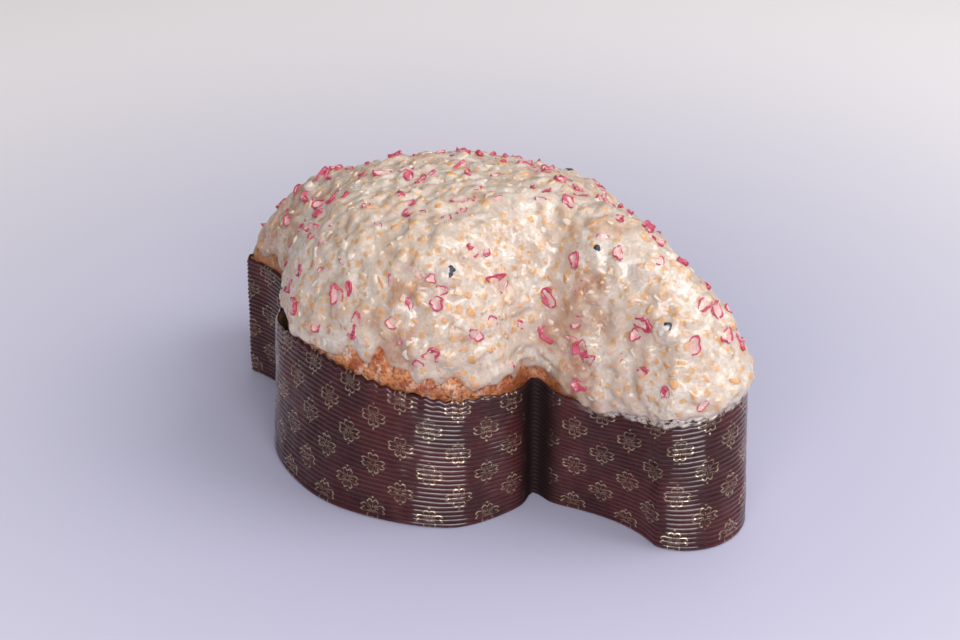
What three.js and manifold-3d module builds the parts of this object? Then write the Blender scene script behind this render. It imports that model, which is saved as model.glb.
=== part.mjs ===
// Colomba: an Easter cake baked in a dove-shaped case of ridged paper, with a thick glaze that holds
// fruit flakes, chopped nuts and a few berries. Millimetres, +Z up. The origin is under the middle of the
// case, on the table. +X runs from the dove's head to its tail, and its wings reach out along Y.
import * as THREE from 'three';
import { mergeVertices } from 'three/addons/utils/BufferGeometryUtils.js';
import Module from 'manifold-3d';

const wasm = await Module();
wasm.setup();

// Driving dimensions: the dove's plan. Each pair is [along X, out from the middle line].
const LENGTH = 277.2;
const HEAD_CORNER = [-132.3, 30.6];
const CHEEK = [-113, 28.4];
const HEAD_NOTCH = [-91.8, 41.4];
const WING = [[-69.7, 78.6], [-20.1, 96], [34.7, 78.3]];
const TAIL_NOTCH = [53, 38];
const TAIL_WAIST = [76.5, 30.2];
const TAIL_FLARE = [96.3, 21.6];
const TAIL_CORNER = [113.9, 29];
const TAIL_BEND = { width: 6.3, from: 57, to: 124 };   // the tail swings to the near side
const STEPS = { head: 3, cheek: 2, wing: 14, tailSide: 5, tailEnd: 4 };

// Driving dimensions: the paper case. The baked paper has swollen and sagged in places.
const CASE_HEIGHT = 63;
const RIM_SWELLS = [
  { at: [-38, -90], reach: 54, amount: 6.3 },
  { at: [139, -6], reach: 36, amount: 7.2 },
  { at: [79, -33], reach: 34, amount: -6 },
  { at: [-139, 0], reach: 40, amount: 2.5 },
  { at: [-10, 96], reach: 60, amount: 4 },
];
const RIDGES = 28;
const RIDGE_DEPTH = 0.9;
const PAPER = 1.4;               // from the middle of the ridges to the smooth inside
const FLOOR = 1.4;
const LEAN = 0.02;               // the walls lean in by this much for each mm of height
const LEAN_PLACES = [
  { at: [-32, -94], reach: 50, amount: 0.11 },
  { at: [139, -6], reach: 32, amount: 0.05 },
  { at: [80, -32], reach: 26, amount: -0.06 },
  { at: [-32, 94], reach: 50, amount: 0.08 },
];

// Driving dimensions: the risen crumb.
const GAP = 0.3;                 // between pieces that touch
const WALL_GAP = 0.9;            // between the crumb's side and the paper
const SHOULDER_DROP = 3;         // the dome springs from just below the rim
const SHOULDER_WIDTH = { body: 31.3, tail: 21.3, from: 40, to: 110 };   // the dome's edge rounds over in this
const SHOULDER_POWER = 2.04;
const CROWN = {
  peak: 69, at: 61.5,
  headDrop: 46, headSpan: 192.5, headPower: 3.25,
  tailDrop: 48.5, tailSpan: 75.5, tailPower: 1.67,
};
const WING_REACH = 94;
const NEAR_WING = 0.78;          // the crown's share that is left at the tip of each wing
const FAR_WING = 0.25;
const PULLED_AWAY = { at: [-72, -72], reach: 15, depth: 4.5 };   // the crumb has left the paper here
const DOME_RINGS = 8;
const RING_POWER = 2.6;          // draws the rings together towards the edge
const SPINE_SHARE = 0.72;        // the rings close on a line this share of the length
const SLOPE_STEP = 0.8;          // the dome's slope is measured over twice this
const WALL_TOP_DROP = 1;         // the crumb's side ends this far below the spring line

// Driving dimensions: the glaze and what it holds.
const GLAZE = 2.2;
const GLAZE_RELIEF = { depth: 0.6, alongX: 0.31, alongY: 0.27, bendX: 0.17, bendY: 0.13, bend: 1.2 };
const GLAZE_RISE = 2.6;          // the glaze ends this far above the rim, and higher where crust shows
const GLAZE_WAVE = { height: 1, alongX: 0.21, alongY: 0.17 };
const EDGE_SEARCH = { share: 0.6, halvings: 16 };
const BARE_CRUST = [
  { at: [16, -91], reach: 30, amount: 8 },
  { at: [-128, -26], reach: 22, amount: 8 },
  { at: [57, -38], reach: 13, amount: 6 },
  { at: [-51, 90], reach: 24, amount: 7 },
  { at: [84, 30], reach: 16, amount: 5 },
];
const FLAKE = { size: [2.4, 3.8], thickness: 1.2, taper: [0.7, 1], narrow: [0.55, 0.95], sunk: 0.1, tilt: 0.45 };
const NUT = { size: [2.2, 3.3], low: [0.6, 0.9], narrow: [0.7, 1], sunk: 0.2, tilt: 0.3 };
const TOPPING_SPACING = { along: 37, uneven: [0.75, 1.25] };
const TOPPING_ROWS = { first: 0.28, last: 0.97, step: 0.1 };
const FLAKE_SHARE = 0.5;
const TOPPING_SEED = 41;
const BERRIES = [
  { at: [25, -62.5], radius: 4.1 },
  { at: [107.5, -24], radius: 4.9 },
  { at: [5, 54], radius: 4 },
  { at: [68.5, -19.5], radius: 3.4 },
  { at: [-40, 76], radius: 4.3 },
  { at: [20, 78], radius: 3.9 },
];
const BERRY = { sunk: 1.5, squash: 0.86, tilt: 0.15, seed: 7, clear: 4 };

const caseMaterial = new THREE.MeshStandardMaterial({ color: 0x3b1c20, roughness: 0.42, metalness: 0 });
const crustMaterial = new THREE.MeshStandardMaterial({ color: 0xb9773a, roughness: 0.8, metalness: 0 });
const glazeMaterial = new THREE.MeshStandardMaterial({ color: 0xdccdb4, roughness: 0.38, metalness: 0 });
const berryMaterial = new THREE.MeshStandardMaterial({ color: 0x23242c, roughness: 0.5, metalness: 0 });

// A small seeded generator, so that every draw comes out the same.
function makeRandom(seed) {
  let state = seed;
  return (low, high) => {
    state = (state * 1664525 + 1013904223) % 4294967296;
    return low + (high - low) * (state / 4294967296);
  };
}

// The centre and radius of a round end through its tip and its corner.
function roundEndCentre(tip, corner) {
  const run = Math.abs(tip - corner[0]);
  const radius = (run ** 2 + corner[1] ** 2) / (2 * run);
  return { x: tip - Math.sign(tip) * radius, radius };
}

// One side of the dove, from the tip of its head to the tip of its tail.
function sideOutline() {
  const point = ([x, y]) => new THREE.Vector2(x, y);
  const head = roundEndCentre(-LENGTH / 2, HEAD_CORNER);
  const headAngle = Math.atan2(HEAD_CORNER[1], HEAD_CORNER[0] - head.x);
  const tail = roundEndCentre(LENGTH / 2, TAIL_CORNER);
  const tailAngle = Math.atan2(TAIL_CORNER[1], TAIL_CORNER[0] - tail.x);
  const pieces = [
    [new THREE.ArcCurve(head.x, 0, head.radius, Math.PI, headAngle, true), STEPS.head],
    [new THREE.QuadraticBezierCurve(...[HEAD_CORNER, CHEEK, HEAD_NOTCH].map(point)), STEPS.cheek],
    [new THREE.SplineCurve([HEAD_NOTCH, ...WING, TAIL_NOTCH].map(point)), STEPS.wing],
    [new THREE.CubicBezierCurve(...[TAIL_NOTCH, TAIL_WAIST, TAIL_FLARE, TAIL_CORNER].map(point)), STEPS.tailSide],
    [new THREE.ArcCurve(tail.x, 0, tail.radius, tailAngle, 0, true), STEPS.tailEnd],
  ];
  const points = [new THREE.Vector2(-LENGTH / 2, 0)];
  for (const [curve, steps] of pieces) points.push(...curve.getSpacedPoints(steps).slice(1));
  return points;
}

// The whole plan, anticlockwise from the tip of the head, past the near wing (-Y) and back by the far one.
function planOutline() {
  const far = sideOutline();
  const near = far.map((p) => new THREE.Vector2(p.x, -p.y));
  const points = [...near, ...far.slice(1, -1).reverse()];
  for (const p of points) p.y -= middleBend(p.x);
  return points;
}

// How far the middle line has swung to the near side.
function middleBend(x) {
  return TAIL_BEND.width * THREE.MathUtils.smoothstep(x, TAIL_BEND.from, TAIL_BEND.to);
}

const PLAN = planOutline();
const COUNT = PLAN.length;
const HALF = COUNT / 2;

// Outward directions at the corners, long enough to move both neighbouring sides by one. At the sharp
// notches they are held short.
const MITRE_LIMIT = 1.6;
const MITRES = PLAN.map((p, i) => {
  const outward = (a, b) => new THREE.Vector2(b.y - a.y, a.x - b.x).normalize();
  const before = outward(PLAN[(i + COUNT - 1) % COUNT], p);
  const after = outward(p, PLAN[(i + 1) % COUNT]);
  const sum = before.clone().add(after);
  return sum.multiplyScalar(2 / Math.max(sum.lengthSq(), MITRE_LIMIT));
});

function bump(x, y, [cx, cy], reach) {
  return Math.exp(-((x - cx) ** 2 + (y - cy) ** 2) / reach ** 2);
}

function bumpsAt(places, x, y) {
  return places.reduce((sum, place) => sum + place.amount * bump(x, y, place.at, place.reach), 0);
}

const caseHeightAt = (x, y) => CASE_HEIGHT + bumpsAt(RIM_SWELLS, x, y);
const leanAt = (x, y) => LEAN + bumpsAt(LEAN_PLACES, x, y);

// A ring of the plan at one height, moved outwards by `offset` and in by the walls' lean.
function planRing(offset, heightAt) {
  return PLAN.map((p, i) => {
    const z = heightAt(p.x, p.y);
    const out = (typeof offset === 'function' ? offset(p.x, p.y) : offset) - leanAt(p.x, p.y) * z;
    return new THREE.Vector3(p.x + MITRES[i].x * out, p.y + MITRES[i].y * out, z);
  });
}

// The band of faces between two rings, given by their places in the list.
function bandFaces(below, above) {
  const faces = [];
  for (let i = 0; i < COUNT; i++) {
    const next = (i + 1) % COUNT;
    const [a, b, c, d] = [below * COUNT + i, below * COUNT + next, above * COUNT + next, above * COUNT + i];
    faces.push(a, b, c, a, c, d);
  }
  return faces;
}

function indexed(positions, faces) {
  const geometry = new THREE.BufferGeometry();
  geometry.setAttribute('position', new THREE.Float32BufferAttribute(positions, 3));
  geometry.setIndex(faces);
  return geometry;
}

const flatten = (rings) => rings.flat().flatMap((v) => [v.x, v.y, v.z]);

// A closed wall from rings of equal count that go up its outside and down its inside.
function wallSolid(rings) {
  const faces = rings.flatMap((_, k) => bandFaces(k, (k + 1) % rings.length));
  return indexed(flatten(rings), faces);
}

// A closed solid from rings of equal count, the first and last filled by a spine.
function ringSolid(rings, spines = {}) {
  const positions = flatten(rings);
  const faces = rings.slice(1).flatMap((_, k) => bandFaces(k, k + 1));
  const close = (first, spine, upwards) => {
    const middle = positions.length / 3;
    spine.forEach((v) => positions.push(v.x, v.y, v.z));
    const inner = (i) => middle + (i <= HALF ? i : COUNT - i);
    for (let i = 0; i < COUNT; i++) {
      const next = (i + 1) % COUNT;
      const quad = [[first + i, first + next, inner(next)], [first + i, inner(next), inner(i)]];
      for (const [a, b, c] of quad) {
        if (b === c || a === c) continue;
        faces.push(...(upwards ? [a, b, c] : [a, c, b]));
      }
    }
  };
  const flatSpine = (ring) => spineOf(ring, ring[0].z);
  close(0, spines.bottom ?? flatSpine(rings[0]), false);
  const last = rings.length - 1;
  close(last * COUNT, spines.top ?? flatSpine(rings[last]), true);
  return indexed(positions, faces);
}

// The middle line that a ring closes on, one point for each point of one side.
function spineOf(ring, z) {
  return ring.slice(0, HALF + 1).map(({ x }) => {
    return new THREE.Vector3(x * SPINE_SHARE, -middleBend(x * SPINE_SHARE), z);
  });
}

// ---- Paper case: a wall, ridged outside and smooth inside, around a flat base ----
function caseWall() {
  const rings = [];
  for (let k = 0; k <= 2 * RIDGES; k++) {
    const share = k / (2 * RIDGES);
    const ridge = k % 2 === 1 ? RIDGE_DEPTH / 2 : -RIDGE_DEPTH / 2;
    rings.push(planRing(ridge, (x, y) => caseHeightAt(x, y) * share));
  }
  rings.push(planRing(-PAPER, caseHeightAt));
  rings.push(planRing(-PAPER, () => 0));
  return wallSolid(rings);
}

function caseBase() {
  const edge = -PAPER - GAP;
  return ringSolid([planRing(edge, () => 0), planRing(edge, () => FLOOR)]);
}

// ---- Crumb: fills the case and rises over its rim as a dome with a deep fold at each notch ----
function crumbInset(x, y) {
  return -(PAPER + WALL_GAP) - PULLED_AWAY.depth * bump(x, y, PULLED_AWAY.at, PULLED_AWAY.reach);
}

const springHeight = (x, y) => caseHeightAt(x, y) - SHOULDER_DROP;

// The line the dome springs from: plumb below the inside of the rim, as the walls lean in above it.
function springRing(swelling, lower) {
  const ring = planRing((x, y) => crumbInset(x, y) + swelling, caseHeightAt);
  for (const v of ring) v.z -= SHOULDER_DROP + lower;
  return ring;
}

const SPRING = springRing(0, 0);

function distanceToSpring(x, y) {
  let nearest = Infinity;
  for (let i = 0; i < COUNT; i++) {
    const [a, b] = [SPRING[i], SPRING[(i + 1) % COUNT]];
    const [dx, dy] = [b.x - a.x, b.y - a.y];
    const along = ((x - a.x) * dx + (y - a.y) * dy) / (dx * dx + dy * dy);
    const t = Math.min(1, Math.max(0, along));
    nearest = Math.min(nearest, Math.hypot(x - a.x - t * dx, y - a.y - t * dy));
  }
  return nearest;
}

function crownAt(x, y) {
  const toHead = Math.max(0, (CROWN.at - x) / CROWN.headSpan);
  const toTail = Math.max(0, (x - CROWN.at) / CROWN.tailSpan);
  const drop = CROWN.headDrop * toHead ** CROWN.headPower + CROWN.tailDrop * toTail ** CROWN.tailPower;
  const left = y < 0 ? NEAR_WING : FAR_WING;
  return (CROWN.peak - drop) * (1 - (1 - left) * (y / WING_REACH) ** 2);
}

function domeHeight(x, y) {
  const tailwards = THREE.MathUtils.smoothstep(x, SHOULDER_WIDTH.from, SHOULDER_WIDTH.to);
  const width = THREE.MathUtils.lerp(SHOULDER_WIDTH.body, SHOULDER_WIDTH.tail, tailwards);
  const inward = Math.min(1, distanceToSpring(x, y) / width);
  const rise = (1 - (1 - inward) ** SHOULDER_POWER) ** (1 / SHOULDER_POWER);
  return THREE.MathUtils.lerp(springHeight(x, y), CASE_HEIGHT + crownAt(x, y), rise);
}

function domeNormal(x, y) {
  const slopeX = (domeHeight(x + SLOPE_STEP, y) - domeHeight(x - SLOPE_STEP, y)) / (2 * SLOPE_STEP);
  const slopeY = (domeHeight(x, y + SLOPE_STEP) - domeHeight(x, y - SLOPE_STEP)) / (2 * SLOPE_STEP);
  return new THREE.Vector3(-slopeX, -slopeY, 1).normalize();
}

// A point of the dome: `edge` is its place on the spring line, `share` runs from there to the spine.
function domePoint(edge, share, lift) {
  const reach = 1 - share ** RING_POWER;
  const x = edge.x * (SPINE_SHARE + (1 - SPINE_SHARE) * reach);
  const y = THREE.MathUtils.lerp(-middleBend(x), edge.y, reach);
  const thickness = typeof lift === 'function' ? lift(x, y) : lift;
  return new THREE.Vector3(x, y, domeHeight(x, y)).addScaledVector(domeNormal(x, y), thickness);
}

function domeRings(startAt, lift) {
  const rings = [];
  for (let k = 0; k < DOME_RINGS; k++) {
    rings.push(SPRING.map((edge) => {
      const start = startAt(edge);
      return domePoint(edge, start + (1 - start) * (k / DOME_RINGS), lift);
    }));
  }
  const spine = SPRING.slice(0, HALF + 1).map((edge) => domePoint(edge, 1, lift));
  return { rings, spine };
}

function crumb(swelling) {
  const { rings, spine } = domeRings(() => 0, swelling);
  const base = planRing((x, y) => crumbInset(x, y) + swelling, () => FLOOR + GAP - swelling);
  const wall = springRing(swelling, WALL_TOP_DROP);
  return ringSolid([base, wall, ...rings.slice(1)], { top: spine });
}

// ---- Solids for joining and cutting ----
function toSolid(geometry) {
  const bare = geometry.clone();
  bare.deleteAttribute('normal');
  bare.deleteAttribute('uv');
  const merged = mergeVertices(bare, 1e-4);
  return new wasm.Manifold(new wasm.Mesh({
    numProp: 3,
    vertProperties: Float32Array.from(merged.attributes.position.array),
    triVerts: Uint32Array.from(merged.index.array),
  }));
}

function toGeometry(solid) {
  const mesh = solid.getMesh();
  return indexed(mesh.vertProperties, [...mesh.triVerts]);
}

function largestPiece(solid) {
  return solid.decompose().sort((a, b) => b.volume() - a.volume())[0];
}

// ---- Glaze: a thick uneven coat with a wavy lower edge, and the toppings set in it ----
function glazeRise({ x, y }) {
  const wave = GLAZE_WAVE.height * Math.sin(x * GLAZE_WAVE.alongX + y * GLAZE_WAVE.alongY);
  return GLAZE_RISE + wave + bumpsAt(BARE_CRUST, x, y);
}

// How far towards the spine the dome has risen to the glaze's lower edge, found by halving.
function glazeEdge(edge) {
  const level = caseHeightAt(edge.x, edge.y) + glazeRise(edge);
  let [low, high] = [0, EDGE_SEARCH.share];
  for (let halving = 0; halving < EDGE_SEARCH.halvings; halving++) {
    const middle = (low + high) / 2;
    if (domePoint(edge, middle, 0).z < level) low = middle;
    else high = middle;
  }
  return high;
}

function glazeThickness(x, y) {
  const { depth, alongX, alongY, bendX, bendY, bend } = GLAZE_RELIEF;
  const across = Math.sin(x * alongX + bend * Math.sin(y * bendX));
  const along = Math.sin(y * alongY + bend * Math.sin(x * bendY));
  return GLAZE + depth * across * along;
}

function glazeCoat() {
  const { rings, spine } = domeRings(glazeEdge, glazeThickness);
  const inside = SPRING.map((edge) => domePoint(edge, glazeEdge(edge), -2 * GLAZE));
  return ringSolid([inside, ...rings], { bottom: spineOf(inside, CASE_HEIGHT - 2 * GLAZE), top: spine });
}

// Sets a topping on the glaze at a place of the plan, leaning with the surface and turned by chance.
function setTopping(geometry, x, y, sunk, random, tilt) {
  const normal = domeNormal(x, y);
  const lean = new THREE.Quaternion().setFromUnitVectors(new THREE.Vector3(0, 1, 0), normal);
  const spin = new THREE.Euler(random(-tilt, tilt), random(0, 2 * Math.PI), random(-tilt, tilt));
  const place = new THREE.Vector3(x, y, domeHeight(x, y));
  place.addScaledVector(normal, glazeThickness(x, y) - sunk);
  geometry.applyQuaternion(new THREE.Quaternion().setFromEuler(spin));
  geometry.applyQuaternion(lean);
  return geometry.translate(place.x, place.y, place.z);
}

function fruitFlake(random) {
  const size = random(...FLAKE.size);
  const flake = new THREE.CylinderGeometry(size, size * random(...FLAKE.taper), FLAKE.thickness, 5);
  return flake.scale(1, 1, random(...FLAKE.narrow));
}

function nutBit(random) {
  return new THREE.TetrahedronGeometry(random(...NUT.size)).scale(1, random(...NUT.low), random(...NUT.narrow));
}

// Toppings lie in rows around the dome, evenly by distance, each a little out of line.
function toppings() {
  const random = makeRandom(TOPPING_SEED);
  const pieces = [];
  for (let row = TOPPING_ROWS.first; row < TOPPING_ROWS.last; row += TOPPING_ROWS.step) {
    const ring = SPRING.map((edge) => domePoint(edge, row, 0));
    let run = random(0, TOPPING_SPACING.along);
    ring.forEach((from, i) => {
      const to = ring[(i + 1) % COUNT];
      const length = from.distanceTo(to);
      while (run < length) {
        const place = from.clone().lerp(to, run / length);
        run += TOPPING_SPACING.along * random(...TOPPING_SPACING.uneven);
        if (!clearOfBerries(place)) continue;
        const isFlake = random(0, 1) < FLAKE_SHARE;
        const shape = isFlake ? fruitFlake(random) : nutBit(random);
        const { sunk, tilt } = isFlake ? FLAKE : NUT;
        pieces.push(setTopping(shape, place.x, place.y, sunk, random, tilt));
      }
      run -= length;
    });
  }
  return pieces;
}

function clearOfBerries(place) {
  const away = ({ at, radius }) => Math.hypot(place.x - at[0], place.y - at[1]) > radius + BERRY.clear;
  return BERRIES.every(away);
}

function berry({ at, radius }, swelling) {
  const random = makeRandom(BERRY.seed);
  const shape = new THREE.IcosahedronGeometry(radius + swelling, 1).scale(1, BERRY.squash, 1);
  return setTopping(shape, at[0], at[1], BERRY.sunk - BERRY.squash * radius, random, BERRY.tilt);
}

function glaze() {
  let solid = toSolid(glazeCoat());
  for (const piece of toppings()) solid = solid.add(toSolid(piece));
  solid = solid.subtract(toSolid(crumb(GAP)));
  for (const one of BERRIES) solid = solid.subtract(toSolid(berry(one, GAP)));
  return toGeometry(largestPiece(solid));
}

// ---- The cake ----
function named(name, geometry, material) {
  geometry.computeVertexNormals();
  const mesh = new THREE.Mesh(geometry, material);
  mesh.name = name;
  return mesh;
}

const colomba = new THREE.Group();
colomba.add(named('paper_case', caseWall(), caseMaterial));
colomba.add(named('case_base', caseBase(), caseMaterial));
colomba.add(named('cake', crumb(0), crustMaterial));
colomba.add(named('icing', glaze(), glazeMaterial));
BERRIES.forEach((one, i) => {
  const geometry = toGeometry(toSolid(berry(one, 0)));
  colomba.add(named(`berry_${i + 1}`, geometry, berryMaterial));
});

export default colomba;
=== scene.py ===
import math
import random

import bmesh
import bpy
import numpy as np
from mathutils import Matrix, Vector, kdtree, noise


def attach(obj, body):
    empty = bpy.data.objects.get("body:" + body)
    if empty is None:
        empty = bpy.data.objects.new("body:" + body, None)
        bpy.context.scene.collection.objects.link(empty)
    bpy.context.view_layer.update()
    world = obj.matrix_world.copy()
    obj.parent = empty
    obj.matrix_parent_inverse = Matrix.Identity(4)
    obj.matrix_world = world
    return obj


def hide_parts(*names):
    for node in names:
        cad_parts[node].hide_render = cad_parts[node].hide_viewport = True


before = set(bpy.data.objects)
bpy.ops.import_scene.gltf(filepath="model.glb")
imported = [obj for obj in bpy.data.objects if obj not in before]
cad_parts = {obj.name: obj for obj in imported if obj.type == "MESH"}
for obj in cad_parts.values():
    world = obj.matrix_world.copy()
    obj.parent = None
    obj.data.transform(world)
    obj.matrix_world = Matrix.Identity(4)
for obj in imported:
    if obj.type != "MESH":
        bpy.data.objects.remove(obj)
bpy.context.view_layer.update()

# ---- Case wall ----
# The mould's wall is a strip of corrugated baking paper with its ridges lying level, glossy burgundy
# with a gold flower print outside and plain tan inside. It is bent to the dove's outline and glued into
# a ring, and has swollen and sagged in the oven.

# Sizes are in metres. Points of the outline lie along X and out from the middle line.
LENGTH = 0.2772
HEAD_CORNER = (-0.1323, 0.0306)
CHEEK = (-0.113, 0.0284)
HEAD_NOTCH = (-0.0918, 0.0414)
WING = ((-0.0697, 0.0786), (-0.0201, 0.096), (0.0347, 0.0783))
TAIL_NOTCH = (0.053, 0.038)
TAIL_WAIST = (0.0765, 0.0302)
TAIL_FLARE = (0.0963, 0.0216)
TAIL_CORNER = (0.1139, 0.029)
TAIL_BEND = {"width": 0.0063, "start": 0.057, "end": 0.124}
STEPS = {"head": 3, "cheek": 2, "wing": 14, "tail_side": 5, "tail_end": 4}
POINTS_PER_STEP = 10
CORNER_PASSES = 1
# The wall is creased inwards at the tail's notches, and shade is painted into its folds, which lose their
# gold and gloss.
CREASE = {"reach": 0.0034, "depth": 0.0075, "shade": 0.0115, "passes": 4}

CASE_HEIGHT = 0.063
LEAN = 0.02
# Swells of the rim and leans of the wall: each has its place in plan, its reach and its amount.
RIM_SWELLS = (
    ((-0.038, -0.090), 0.054, 0.0063),
    ((0.139, -0.006), 0.036, 0.0072),
    ((0.079, -0.033), 0.034, -0.006),
    ((-0.139, 0.0), 0.040, 0.0025),
    ((-0.010, 0.096), 0.060, 0.004),
)
LEAN_PLACES = (
    ((-0.032, -0.094), 0.050, 0.11),
    ((0.139, -0.006), 0.032, 0.05),
    ((0.080, -0.032), 0.026, -0.06),
    ((-0.032, 0.094), 0.050, 0.08),
)
RIM_WAVE = {"depth": 0.0007, "pitch": 0.00105, "wander": 2.2, "least": 0.6, "from": 0.86}
RIM_DROOP = 0.0006
PAPER_THICKNESS = 0.0013
RIM_ROUND = {"height": 0.0003, "inwards": 0.55}
RIDGES = 28
RIDGE_ROWS = 5
RIDGE = {"depth": 0.0009, "middle": 0.6, "least": 0.85, "change": 0.3}
DENT = {"depth": 0.0007, "fine": 0.4, "upright": 0.7, "flat_foot": 0.08}
INNER_ROWS = 6
INNER_POWER = 1.6
# In the wrap attribute the lining of the wall is marked as this much above the rim.
LINING = 0.002
CURVE_POINTS = 401
MITRE_LEAST = 1.6
SEED_SHIFT = (7.3, 3.1, 5.7)


def smooth(x, low, high):
    """Nought below `low`, one above `high`, and a soft rise between them."""
    t = np.clip((x - low) / (high - low), 0, 1)
    return t * t * (3 - 2 * t)


def evenly(curve, steps):
    """The points at even distances along a curve, without its first one."""
    dense = np.array([curve(t) for t in np.linspace(0, 1, CURVE_POINTS)])
    run = np.concatenate([[0], np.cumsum(np.hypot(*np.diff(dense, axis=0).T))])
    at = np.linspace(0, run[-1], steps + 1)[1:]
    return np.column_stack([np.interp(at, run, dense[:, 0]), np.interp(at, run, dense[:, 1])])


def bezier(*points):
    """The Bezier curve of three or four points."""
    points = np.array(points)
    power = len(points) - 1

    def at(t):
        shares = [math.comb(power, k) * t**k * (1 - t) ** (power - k) for k in range(power + 1)]
        return shares @ points

    return at


def through(*points):
    """A smooth curve that passes through every point."""
    points = np.array(points)
    last = len(points) - 1

    def at(t):
        k = min(int(t * last), last - 1)
        w = t * last - k
        a, b, c, d = (points[min(max(k + n, 0), last)] for n in (-1, 0, 1, 2))
        v, u = (c - a) / 2, (d - b) / 2
        return (2 * b - 2 * c + v + u) * w**3 + (3 * c - 3 * b - 2 * v - u) * w**2 + v * w + b

    return at


def round_end(tip, corner):
    """The arc between the tip of the head or the tail and its corner, from 0 at the tip to 1."""
    run = abs(tip - corner[0])
    radius = (run**2 + corner[1] ** 2) / (2 * run)
    middle = tip - math.copysign(radius, tip)
    start = 0.0 if tip > 0 else math.pi
    end = math.atan2(corner[1], corner[0] - middle)

    def at(t):
        angle = start + (end - start) * t
        return (middle + radius * math.cos(angle), radius * math.sin(angle))

    return at


def middle_bend(x):
    """How far the middle line has swung to the near side."""
    return TAIL_BEND["width"] * smooth(x, TAIL_BEND["start"], TAIL_BEND["end"])


def dove_outline():
    """The plan, anticlockwise from the tip of the head, past the near wing and back by the far one."""
    tail_end = round_end(LENGTH / 2, TAIL_CORNER)
    stretches = (
        (round_end(-LENGTH / 2, HEAD_CORNER), STEPS["head"]),
        (bezier(HEAD_CORNER, CHEEK, HEAD_NOTCH), STEPS["cheek"]),
        (through(HEAD_NOTCH, *WING, TAIL_NOTCH), STEPS["wing"]),
        (bezier(TAIL_NOTCH, TAIL_WAIST, TAIL_FLARE, TAIL_CORNER), STEPS["tail_side"]),
        (lambda t: tail_end(1 - t), STEPS["tail_end"]),
    )
    sides = [evenly(curve, steps * POINTS_PER_STEP) for curve, steps in stretches]
    side = np.vstack([[(-LENGTH / 2, 0)]] + sides)
    points = np.vstack([side * (1, -1), side[-2:0:-1]])
    points[:, 1] -= middle_bend(points[:, 0])
    return points


def relaxed(ring, passes):
    """A ring with its corners eased by averaging neighbours."""
    for _ in range(passes):
        ring = (np.roll(ring, 1, 0) + 2 * ring + np.roll(ring, -1, 0)) / 4
    return ring


def outward(points):
    """Directions out of the plan, long enough at a corner to move both its sides by one."""
    along = np.roll(points, -1, 0) - points
    side = np.column_stack([along[:, 1], -along[:, 0]])
    side /= np.hypot(*side.T)[:, None]
    total = side + np.roll(side, 1, 0)
    return 2 * total / np.maximum((total**2).sum(1), MITRE_LEAST)[:, None]


def bumps(places, x, y):
    """The sum of soft round bumps, each with its place, its reach and its amount."""
    total = np.zeros_like(x)
    for (cx, cy), reach, amount in places:
        total = total + amount * np.exp(-((x - cx) ** 2 + (y - cy) ** 2) / reach**2)
    return total


def at_tail_notches(points, reach, depth, power=2):
    """A push inwards at the notch on each side before the tail, pointed where the power is one."""
    total = np.zeros(len(points))
    for side in (-1, 1):
        away = np.hypot(points[:, 0] - TAIL_NOTCH[0], points[:, 1] - side * TAIL_NOTCH[1])
        total += depth * np.exp(-((away / reach) ** power))
    return total


def grain(points, size, seed):
    """Soft noise of about one each way, with lumps of the given size, at an array of points."""
    shift = Vector([seed * step for step in SEED_SHIFT])
    flat = np.asarray(points).reshape(-1, 3) / size
    values = [noise.noise(Vector(p) + shift) for p in flat]
    return np.array(values).reshape(np.asarray(points).shape[:-1])


def grains(points, layers, start=0.0):
    """Several soft noises added to a starting value, each with its depth, size and seed."""
    for depth, size, seed in layers:
        start = start + depth * grain(points, size, seed)
    return start


def wrapped(rows, wrap=None):
    """A tube or shell from rings of equal count, on a grid whose edges are later welded."""
    count, around = rows.shape[:2]
    rows = np.concatenate([rows, rows[:, :1]], axis=1)
    bm = bmesh.new()
    bmesh.ops.create_grid(bm, x_segments=around, y_segments=count - 1, size=1)
    bm.verts.ensure_lookup_table()
    for vert, place in zip(bm.verts, rows.reshape(-1, 3)):
        vert.co = place
    if wrap is not None:
        layer = bm.loops.layers.float_vector.new("wrap")
        wrap = wrap.reshape(-1, 3)
        for face in bm.faces:
            for loop in face.loops:
                loop[layer] = wrap[loop.vert.index]
    return bm


def finished(bm, name, material, weld=2e-6):
    """Welds what meets, turns the faces outwards and makes the object, shaded smooth."""
    if weld:
        bmesh.ops.remove_doubles(bm, verts=bm.verts[:], dist=weld)
    bmesh.ops.recalc_face_normals(bm, faces=bm.faces[:])
    for face in bm.faces:
        face.smooth = True
    mesh = bpy.data.meshes.new(name)
    bm.to_mesh(mesh)
    bm.free()
    mesh.materials.append(material)
    piece = bpy.data.objects.new(name, mesh)
    bpy.context.scene.collection.objects.link(piece)
    return piece


MOULD = relaxed(dove_outline(), CORNER_PASSES)
MITRES = outward(MOULD)
crease = at_tail_notches(MOULD, CREASE["reach"], CREASE["depth"], power=1)
PLAN = MOULD - outward(relaxed(MOULD, CREASE["passes"])) * crease[:, None]
AROUND = len(PLAN)
sides = np.roll(PLAN, -1, 0) - PLAN
RUN = np.concatenate([[0], np.cumsum(np.hypot(*sides.T))])
rim_height = CASE_HEIGHT + bumps(RIM_SWELLS, *PLAN.T)
wall_lean = LEAN + bumps(LEAN_PLACES, *PLAN.T)


def plan_ring(offset, height, plan=PLAN):
    """The plan at some height, moved outwards by `offset` and in by the wall's lean."""
    height = np.broadcast_to(height, (AROUND,))
    out = offset - wall_lean * height
    return np.column_stack([plan + MITRES * out[:, None], height])


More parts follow.
